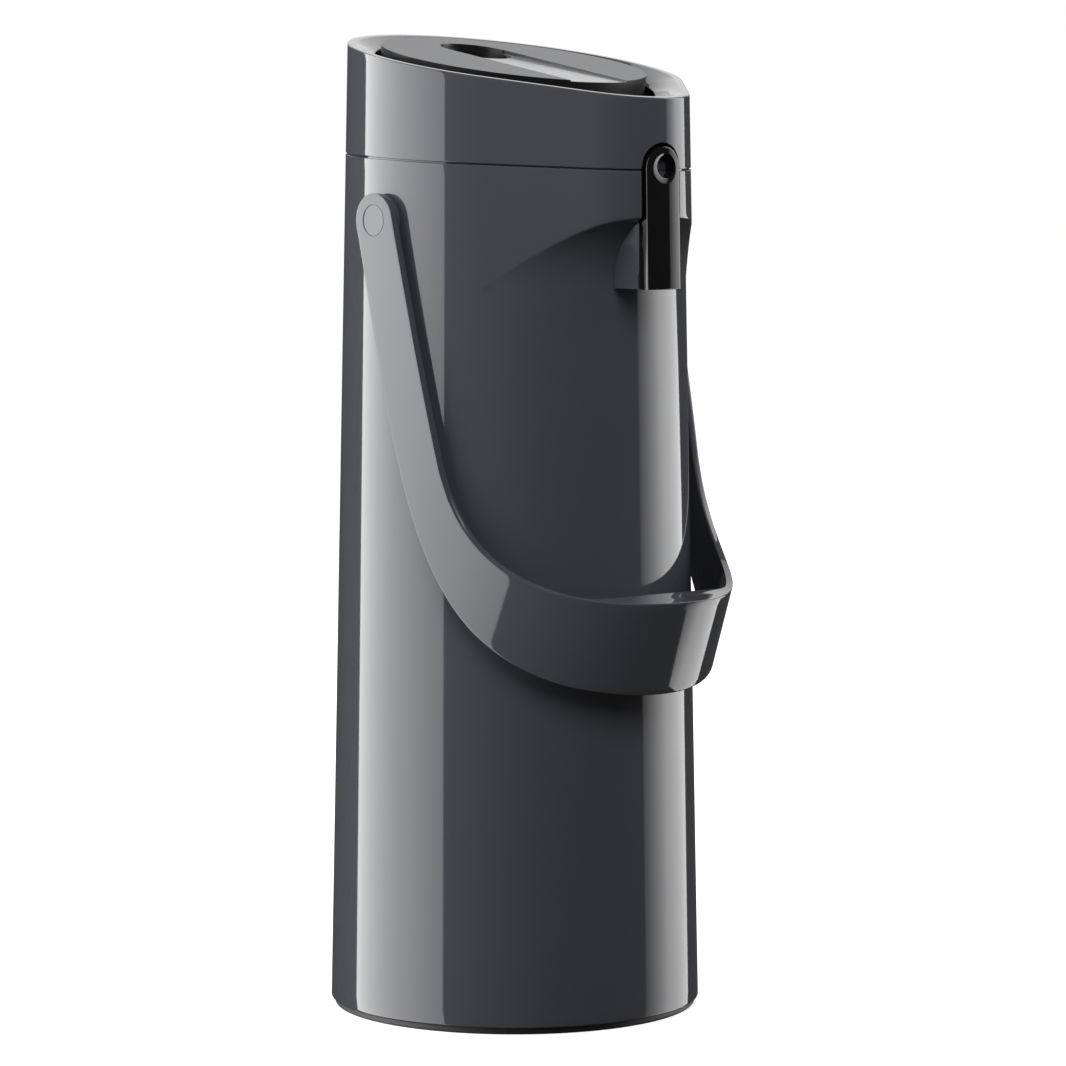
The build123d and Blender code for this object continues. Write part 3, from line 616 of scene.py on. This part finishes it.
# %% the carrying band's skin
def band_grid():
    """Stations along the strap; at each, a closed loop: outer wall, top, inner wall, underside."""
    cap_turn = np.sin(np.linspace(0, 1, 14)[:-1] * pi / 2)
    crown = (front_angle + pi + rear_angle) / 2
    disc = lambda a: np.stack([band_end * np.cos(a), pivot_height + band_end * np.sin(a)], axis=-1)
    tips = [disc(crown + cap_turn * (front_angle - crown)),
            disc(crown + cap_turn * (pi + rear_angle - crown))]
    first_k, arm_count = 0.35, 46
    psi = np.concatenate([np.linspace(np.arccos(first_k), 0.75, 14)[1:], np.linspace(0.75, 0.35, 36)[1:],
                          np.linspace(0.35, 0, 18)[1:]])
    k = np.cos(psi)
    cap = len(cap_turn) + arm_count
    steps = np.linspace(0, 1, 9)

    def lifted(points, depth):
        """Puts the arm's points on the ellipse of a wall set in by depth."""
        fall = (points[..., 1] - band_centre) / half_axis(points[..., 2], depth)
        points[..., :cap, 0] = ((band_half - depth) * np.sqrt(np.clip(1 - fall ** 2, 0, None)))[..., :cap]
        return points

    def across(curve, tip):
        """Points from the outer to the inner wall along a side curve, per station."""
        arm_end = meet(curve, np.array([first_k]), 0.0)[0]
        arm = np.concatenate([tip, along(curve, arm_end, arm_count)])
        rows = []
        for depth in steps * band_thick:
            front = np.column_stack([(band_half - depth) * np.sin(psi), meet(curve, k, depth)])
            rows.append(lifted(np.concatenate([np.column_stack([0 * arm[:, 0], arm]), front]), depth))
        return np.array(rows)

    top, under = across(front_edge, tips[0]), across(rear_edge, tips[1])
    wide = np.linalg.norm(top[0] - under[0], axis=-1, keepdims=True)
    soft = np.minimum(0.8, 0.4 * wide)

    def step_from(a, b):
        way = b - a
        size = np.maximum(np.linalg.norm(way, axis=-1, keepdims=True), 1e-6)
        return a + way / size * np.minimum(soft, 0.45 * size)

    def rounded(a, b, c):
        return corner(step_from(b, a), b, step_from(b, c), 5)

    wall = lambda a, b, depth, n: lifted(between(step_from(a, b), step_from(b, a), n), depth)[1:-1]
    loop = [
        rounded(under[0], top[0], top[1]), top[1:-1][2:-2],
        rounded(top[-2], top[-1], under[-1]),
        wall(top[-1], under[-1], band_thick, 14),
        rounded(top[-1], under[-1], under[-2]), under[1:-1][2:-2][::-1],
        rounded(under[1], under[0], top[0]),
        wall(under[0], top[0], 0.0, 16),
    ]
    right = np.concatenate(loop)
    left = right[:, ::-1].copy()
    left[..., 0] *= -1
    whole = np.concatenate([right, left[:, 1:]], axis=1)
    whole[..., 1] *= -1
    return whole


band_points = band_grid()
band_skin = piece_from_grid("carrying_band", band_points, close_columns=False)


def drilled(obj, radius, floor):
    """Sinks a round seat for the pivot's flush head into the outer face of each arm."""
    count = 96
    angle = np.linspace(0, 2 * pi, count + 1)[:-1]
    ring = np.stack([0 * angle, radius * np.cos(angle), pivot_height + radius * np.sin(angle)], axis=-1)
    index = np.arange(count)
    after = np.roll(index, -1)
    faces = np.stack([index, after, after + count, index + count], axis=-1).tolist()
    faces += [index[::-1].tolist(), (index + count).tolist()]
    for side in (-1, 1):
        ends = np.concatenate([ring + [side * floor, 0, 0], ring + [side * (floor + 9), 0, 0]]) / 1000
        mesh = bpy.data.meshes.new("seat")
        mesh.from_pydata(ends.tolist(), [], faces)
        if side < 0:
            mesh.flip_normals()
        cutter = placed("seat", mesh)
        cut = obj.modifiers.new("seat", "BOOLEAN")
        cut.operation, cut.solver, cut.object = "DIFFERENCE", "EXACT", cutter
        made = bpy.data.meshes.new_from_object(obj.evaluated_get(bpy.context.evaluated_depsgraph_get()))
        obj.modifiers.clear()
        obj.data = made
        bpy.data.objects.remove(cutter)


drilled(band_skin, seat_radius, seat_floor)
finish_piece(band_skin, gloss_abs, "gloss_anthracite", "handle", "handle_band")

# %% [markdown]
# The latch bar is a slim tongue with a round eye, bent to the same curve as the nose. Columns
# go round its outline and rows run from the eye's edge to the outline, over the edge and back
# on the inside, so the whole bar is one closed grid. The eye is a shallow dish, and the hole
# in its floor sits off centre, so that the dish is widest low on one side.

# %% the latch bar
def bar_outline():
    """Points round the bar from the front: a half circle, two sides and a straight foot."""
    a = np.linspace(0, pi, 49)
    top = np.column_stack([bar_half_width * np.cos(a), bar_top_centre + bar_half_width * np.sin(a)])
    down = np.linspace(0, 1, 40)[1:-1]
    drop = (bar_bottom + 0.8 - bar_top_centre) * down ** 1.3
    left = np.column_stack([0 * down - bar_half_width, bar_top_centre + drop])
    foot = np.column_stack([np.linspace(-bar_half_width, bar_half_width, 15), np.full(15, bar_bottom)])
    right = np.column_stack([0 * down + bar_half_width, (bar_top_centre + drop)[::-1]])
    return np.concatenate([top, left, foot, right])


def bar_grid():
    outline = bar_outline()
    centre = np.array([0.0, bar_top_centre])
    out = outline - centre
    length = np.linalg.norm(out, axis=1, keepdims=True)
    way = out / length
    soft, eye_soft, dish = 0.7, 0.2, eye_dish_depth
    eye = centre + way * bar_eye_radius
    hole = centre + np.array(eye_hole_shift) + way * eye_hole_radius

    def skin(xz, inset):
        """Bends flat points round the nose's front, moved in by inset."""
        radius = nose_r(xz[..., 1]) + bar_proud - inset
        u = nose_centre + np.sqrt(radius ** 2 - xz[..., 0] ** 2)
        return np.stack([xz[..., 0], -u, xz[..., 1]], axis=-1)

    pull = centre + out * (1 - soft / np.maximum(length, bar_half_width))
    shrink = np.column_stack([np.clip(outline[:, 0], -bar_half_width + soft, bar_half_width - soft),
                              np.maximum(outline[:, 1], bar_bottom + soft)])
    inset_line = np.where((outline[:, 1:] > bar_top_centre), pull, shrink)
    near_eye = centre + way * (bar_eye_radius + eye_soft)
    front = np.array([skin(near_eye + t * (inset_line - near_eye), 0) for t in np.linspace(0, 1, 18)])
    back = np.array([skin(inset_line + t * (near_eye - inset_line), bar_thickness)
                     for t in np.linspace(0, 1, 8)])
    loop = [
        front,
        corner(skin(inset_line, 0), skin(outline, 0), skin(outline, soft), 6)[1:],
        between(skin(outline, soft), skin(outline, bar_thickness - soft), 3)[1:],
        corner(skin(outline, bar_thickness - soft), skin(outline, bar_thickness),
               skin(inset_line, bar_thickness), 4)[1:],
        back[1:],
        between(skin(hole, bar_thickness), skin(hole, dish + 0.3), 3),
        corner(skin(hole, dish + 0.3), skin(hole, dish),
               skin(hole + 0.12 * (eye - hole), dish * 0.88), 4)[1:],
        np.array([skin(hole + t * (eye - hole), dish * (1 - t)) for t in np.linspace(0.12, 0.95, 8)[1:]]),
        corner(skin(hole + 0.95 * (eye - hole), dish * 0.05), skin(eye, 0),
               skin(near_eye, 0), 4)[1:-1],
    ]
    return np.concatenate(loop)


latch_skin = piece_from_grid("latch_tongue", bar_grid())
finish_piece(latch_skin, gloss_black, "black_plastic", "latch", "latch_bar")
latch_lug = dressed_copy("latch_lug", "latch_bar", keep=lambda p: p[:, 1] > -83.6)
finish_piece(latch_lug, gloss_black, "black_plastic", "latch")

# %% [markdown]
# The remaining glossy and satin pieces are small or flat, so a dressed copy with a fine edge
# is true to them: the keel over the spout, the two pivot discs and the press plate. Every face of
# the plate that doesn't face up is black: painted shade for its skirt in the dark gap round it and
# for the sides of its hollows. The groove's floor, a little under the plate's plane, is polished.

# %% keel, pivots and press plate
plate_slope, groove_start = 0.178, 0.12
finish_piece(dressed_copy("hood_shell", "spout_hood", 0.3), gloss_abs, "gloss_anthracite", "jug",
             "spout_hood")
for side in ("left", "right"):
    pin = dressed_copy("pivot_" + side, "handle_pin_" + side, 0.2)
    finish_piece(pin, gloss_abs, "gloss_anthracite", "jug", "handle_pin_" + side)
plate = finish_piece(dressed_copy("press_plate", "press_button", 0.35), satin_abs, "satin_grey",
                     "pump_button", "press_button")
middle, facing = face_values(plate.data, "center") * 1000, face_values(plate.data, "normal")
height = middle[:, 2] - plate_slope * middle[:, 1]
upward = facing[:, 2] > 0.85
plane = height[upward].max()
# Faces that don't face up get black: painted shade for the skirt in the gap and the sides of the hollows.
other_finish(plate, black_abs_and_painted_shade, ~upward)
other_finish(plate, polished_abs, upward & (height < plane - groove_start))

# %% [markdown]
# What is inside shows when the lid is open or the jug is turned over: pale plastic, silicone
# seals, the silvered flask and small steel pieces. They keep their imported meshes. A replaced
# node gets its finish too, but it stays hidden.

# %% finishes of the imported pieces
inner_finishes = {
    "black_plastic": black_abs_and_painted_shade, "white_plastic": natural_pp, "black_rubber": black_rubber,
    "pale_silicone": pale_silicone, "silvered_glass": silvered_glass, "steel": drawn_steel,
    "gloss_anthracite": gloss_abs, "satin_grey": satin_abs,
}
slot_of = {entry["node"]: entry["material_slot"] for entry in frame["record"]["subparts"]}
for node, slot_name in slot_of.items():
    packed[node].data.materials.clear()
    packed[node].data.materials.append(inner_finishes[slot_name])

# %% [markdown]
# The bellows and the spring get merged copies, each with a mesh of its own. Their feet
# stay on the deck.

# %% pieces that fold
for node in ("bellows", "return_spring"):
    folding = dressed_copy(node + "_shape", node)
    finish_piece(folding, inner_finishes[slot_of[node]], slot_of[node], "lid", node)
    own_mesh(folding)

# %% [markdown]
# The picture was lit like a product shot: two tall soft panels, one on each side, leave the
# long bright bands on the gloss, and a third behind lights the top. All else that the jug
# mirrors is dark. A panel is part of a cylinder round the jug, so its edges stay nearly upright
# in the reflection. The camera doesn't see the panels. The floor and the air are plain white.

# %% the camera
to_camera, tilt = radians(-41.0), radians(5.03)
distance, eye_height = 1.750, 0.341
picture_width, focal_pixels, axis_pixel = 1066.0, 4436.0, 514.8
camera_data = bpy.data.cameras.new("camera")
camera_data.sensor_width = 36.0
camera_data.lens = focal_pixels / picture_width * camera_data.sensor_width
camera_data.shift_x = (picture_width / 2 - axis_pixel) / picture_width
camera_data.clip_start, camera_data.clip_end = 0.05, 50.0
camera = placed("camera", camera_data)
camera.location = (distance * sin(to_camera), -distance * cos(to_camera), eye_height)
camera.rotation_euler = (pi / 2 - tilt, 0, to_camera)
bpy.context.scene.camera = camera


# %% light panels
def panel(name, start, end, glow, low=-0.9, high=1.9, soft=None, by_height=None, radius=1.5):
    """An upright curved panel round the jug from one angle to the other, in degrees to the
    viewer's right of the camera. Each end is heights and the angles there. Its glow runs evenly
    from the first to the second value. With soft it fades in from a first share of full
    strength, over a second share of its width, and by_height is heights and factors."""
    columns, rows = 48, 57
    z = np.linspace(low, high, rows)[:, None]
    across = np.linspace(0, 1, columns)[None]
    first, last = np.interp(z, *start), np.interp(z, *end)
    beta = np.radians(first + across * (last - first)) + to_camera
    grid = np.stack([radius * np.sin(beta), -radius * np.cos(beta), z + 0 * beta], -1)
    index = np.arange(rows * columns).reshape(rows, columns)
    faces = np.stack([index[:-1, :-1], index[:-1, 1:], index[1:, 1:], index[1:, :-1]], axis=-1)
    mesh = bpy.data.meshes.new(name)
    mesh.from_pydata(grid.reshape(-1, 3).tolist(), [], faces.reshape(-1, 4).tolist())
    strength = glow[0] + across * (glow[1] - glow[0]) + 0 * z
    if soft:
        strength = strength * np.clip(soft[0] + (1 - soft[0]) * across / soft[1], 0, 1)
    if by_height:
        strength = strength * np.interp(z, *by_height)
    glow_map = mesh.attributes.new("glow", "FLOAT", "POINT")
    glow_map.data.foreach_set("value", strength.reshape(-1))
    material = bpy.data.materials.new(name)
    tree = blank_tree(material)
    spread = add_node(tree, "ShaderNodeAttribute", attribute_name="glow")
    light = add_node(tree, "ShaderNodeEmission", {"Strength": spread.outputs["Fac"]})
    add_node(tree, "ShaderNodeOutputMaterial", {"Surface": light.outputs[0]})
    mesh.materials.append(material)
    made = placed(name, mesh)
    made.visible_camera = False
    made.visible_shadow = False


panel("left_panel", ((-0.9, 1.9), (-109.4, -133.5)), ((-0.9, 1.9), (-40.9, -54.5)), (7.0, 2.85))
panel("right_panel", ((0.0,), (88.0,)),
      ((-0.26, -0.05, 0.08, 0.21, 0.34), (137.0, 138.5, 140.5, 137.5, 131.5)), (1.0, 0.87),
      soft=(0.15, 0.46), by_height=((-0.26, -0.03, 0.21), (3.35, 3.7, 3.9)))
panel("back_panel", ((0.0,), (150.0,)), ((0.0,), (210.0,)), (1.12, 1.12), low=0.58)

# %% floor
half_floor = 9.0
floor_mesh = bpy.data.meshes.new("floor")
floor_mesh.from_pydata([(x * half_floor, y * half_floor, 0) for x, y in ((-1, -1), (1, -1), (1, 1), (-1, 1))],
                       [], [(0, 1, 2, 3)])
floor = placed("floor", floor_mesh)
floor_finish = bpy.data.materials.new("pale_floor")
tree = blank_tree(floor_finish)
spot = add_node(tree, "ShaderNodeTexCoord")
far_off = add_node(tree, "ShaderNodeVectorMath", {0: spot.outputs["Object"]}, operation="LENGTH")
fade = add_node(tree, "ShaderNodeMapRange", {"Value": far_off.outputs["Value"], "From Min": 0.15,
                                             "From Max": 1.1, "To Min": 0.62, "To Max": 1.0})
matt = add_node(tree, "ShaderNodeBsdfDiffuse", {"Color": linear("#c8c8c8")})
glow = add_node(tree, "ShaderNodeEmission", {"Strength": fade.outputs[0]})
both = add_node(tree, "ShaderNodeAddShader", {0: matt.outputs[0], 1: glow.outputs[0]})
add_node(tree, "ShaderNodeOutputMaterial", {"Surface": both.outputs[0]})
floor_mesh.materials.append(floor_finish)
floor.visible_glossy = False
floor.visible_diffuse = False


# %% [markdown]
# Two round lights that the gloss doesn't mirror lift what the panels leave dark: one overhead,
# and one in front of the jug, a little to the camera's right.

# %% round lights and the air
def disk_light(name, size, power, place):
    """A round light; its object is returned, facing straight down."""
    light = bpy.data.lights.new(name, "AREA")
    light.shape, light.size, light.energy = "DISK", size, power
    made = placed(name, light)
    made.location = place
    made.visible_glossy = False
    return made


disk_light("overhead", 1.4, 18.0, (0.0, 0.0, 2.2))
fill_angle, fill_distance = to_camera + radians(15), 0.95
fill = disk_light("front_fill", 0.8, 10.0,
                  (fill_distance * sin(fill_angle), -fill_distance * cos(fill_angle), 0.9))
fill.rotation_euler = (Vector((0, 0, 0.2)) - fill.location).to_track_quat("-Z", "Y").to_euler()

world = bpy.data.worlds.new("studio")
tree = blank_tree(world)
path = add_node(tree, "ShaderNodeLightPath")
dim = add_node(tree, "ShaderNodeBackground", {"Color": linear("#ffffff"), "Strength": 0.06})
white = add_node(tree, "ShaderNodeBackground", {"Color": linear("#ffffff"), "Strength": 1.0})
seen = add_node(tree, "ShaderNodeMixShader",
                {0: path.outputs["Is Camera Ray"], 1: dim.outputs[0], 2: white.outputs[0]})
add_node(tree, "ShaderNodeOutputWorld", {"Surface": seen.outputs[0]})
bpy.context.scene.world = world
bpy.context.scene.view_settings.view_transform = "Standard"
bpy.context.scene.view_settings.look = "None"
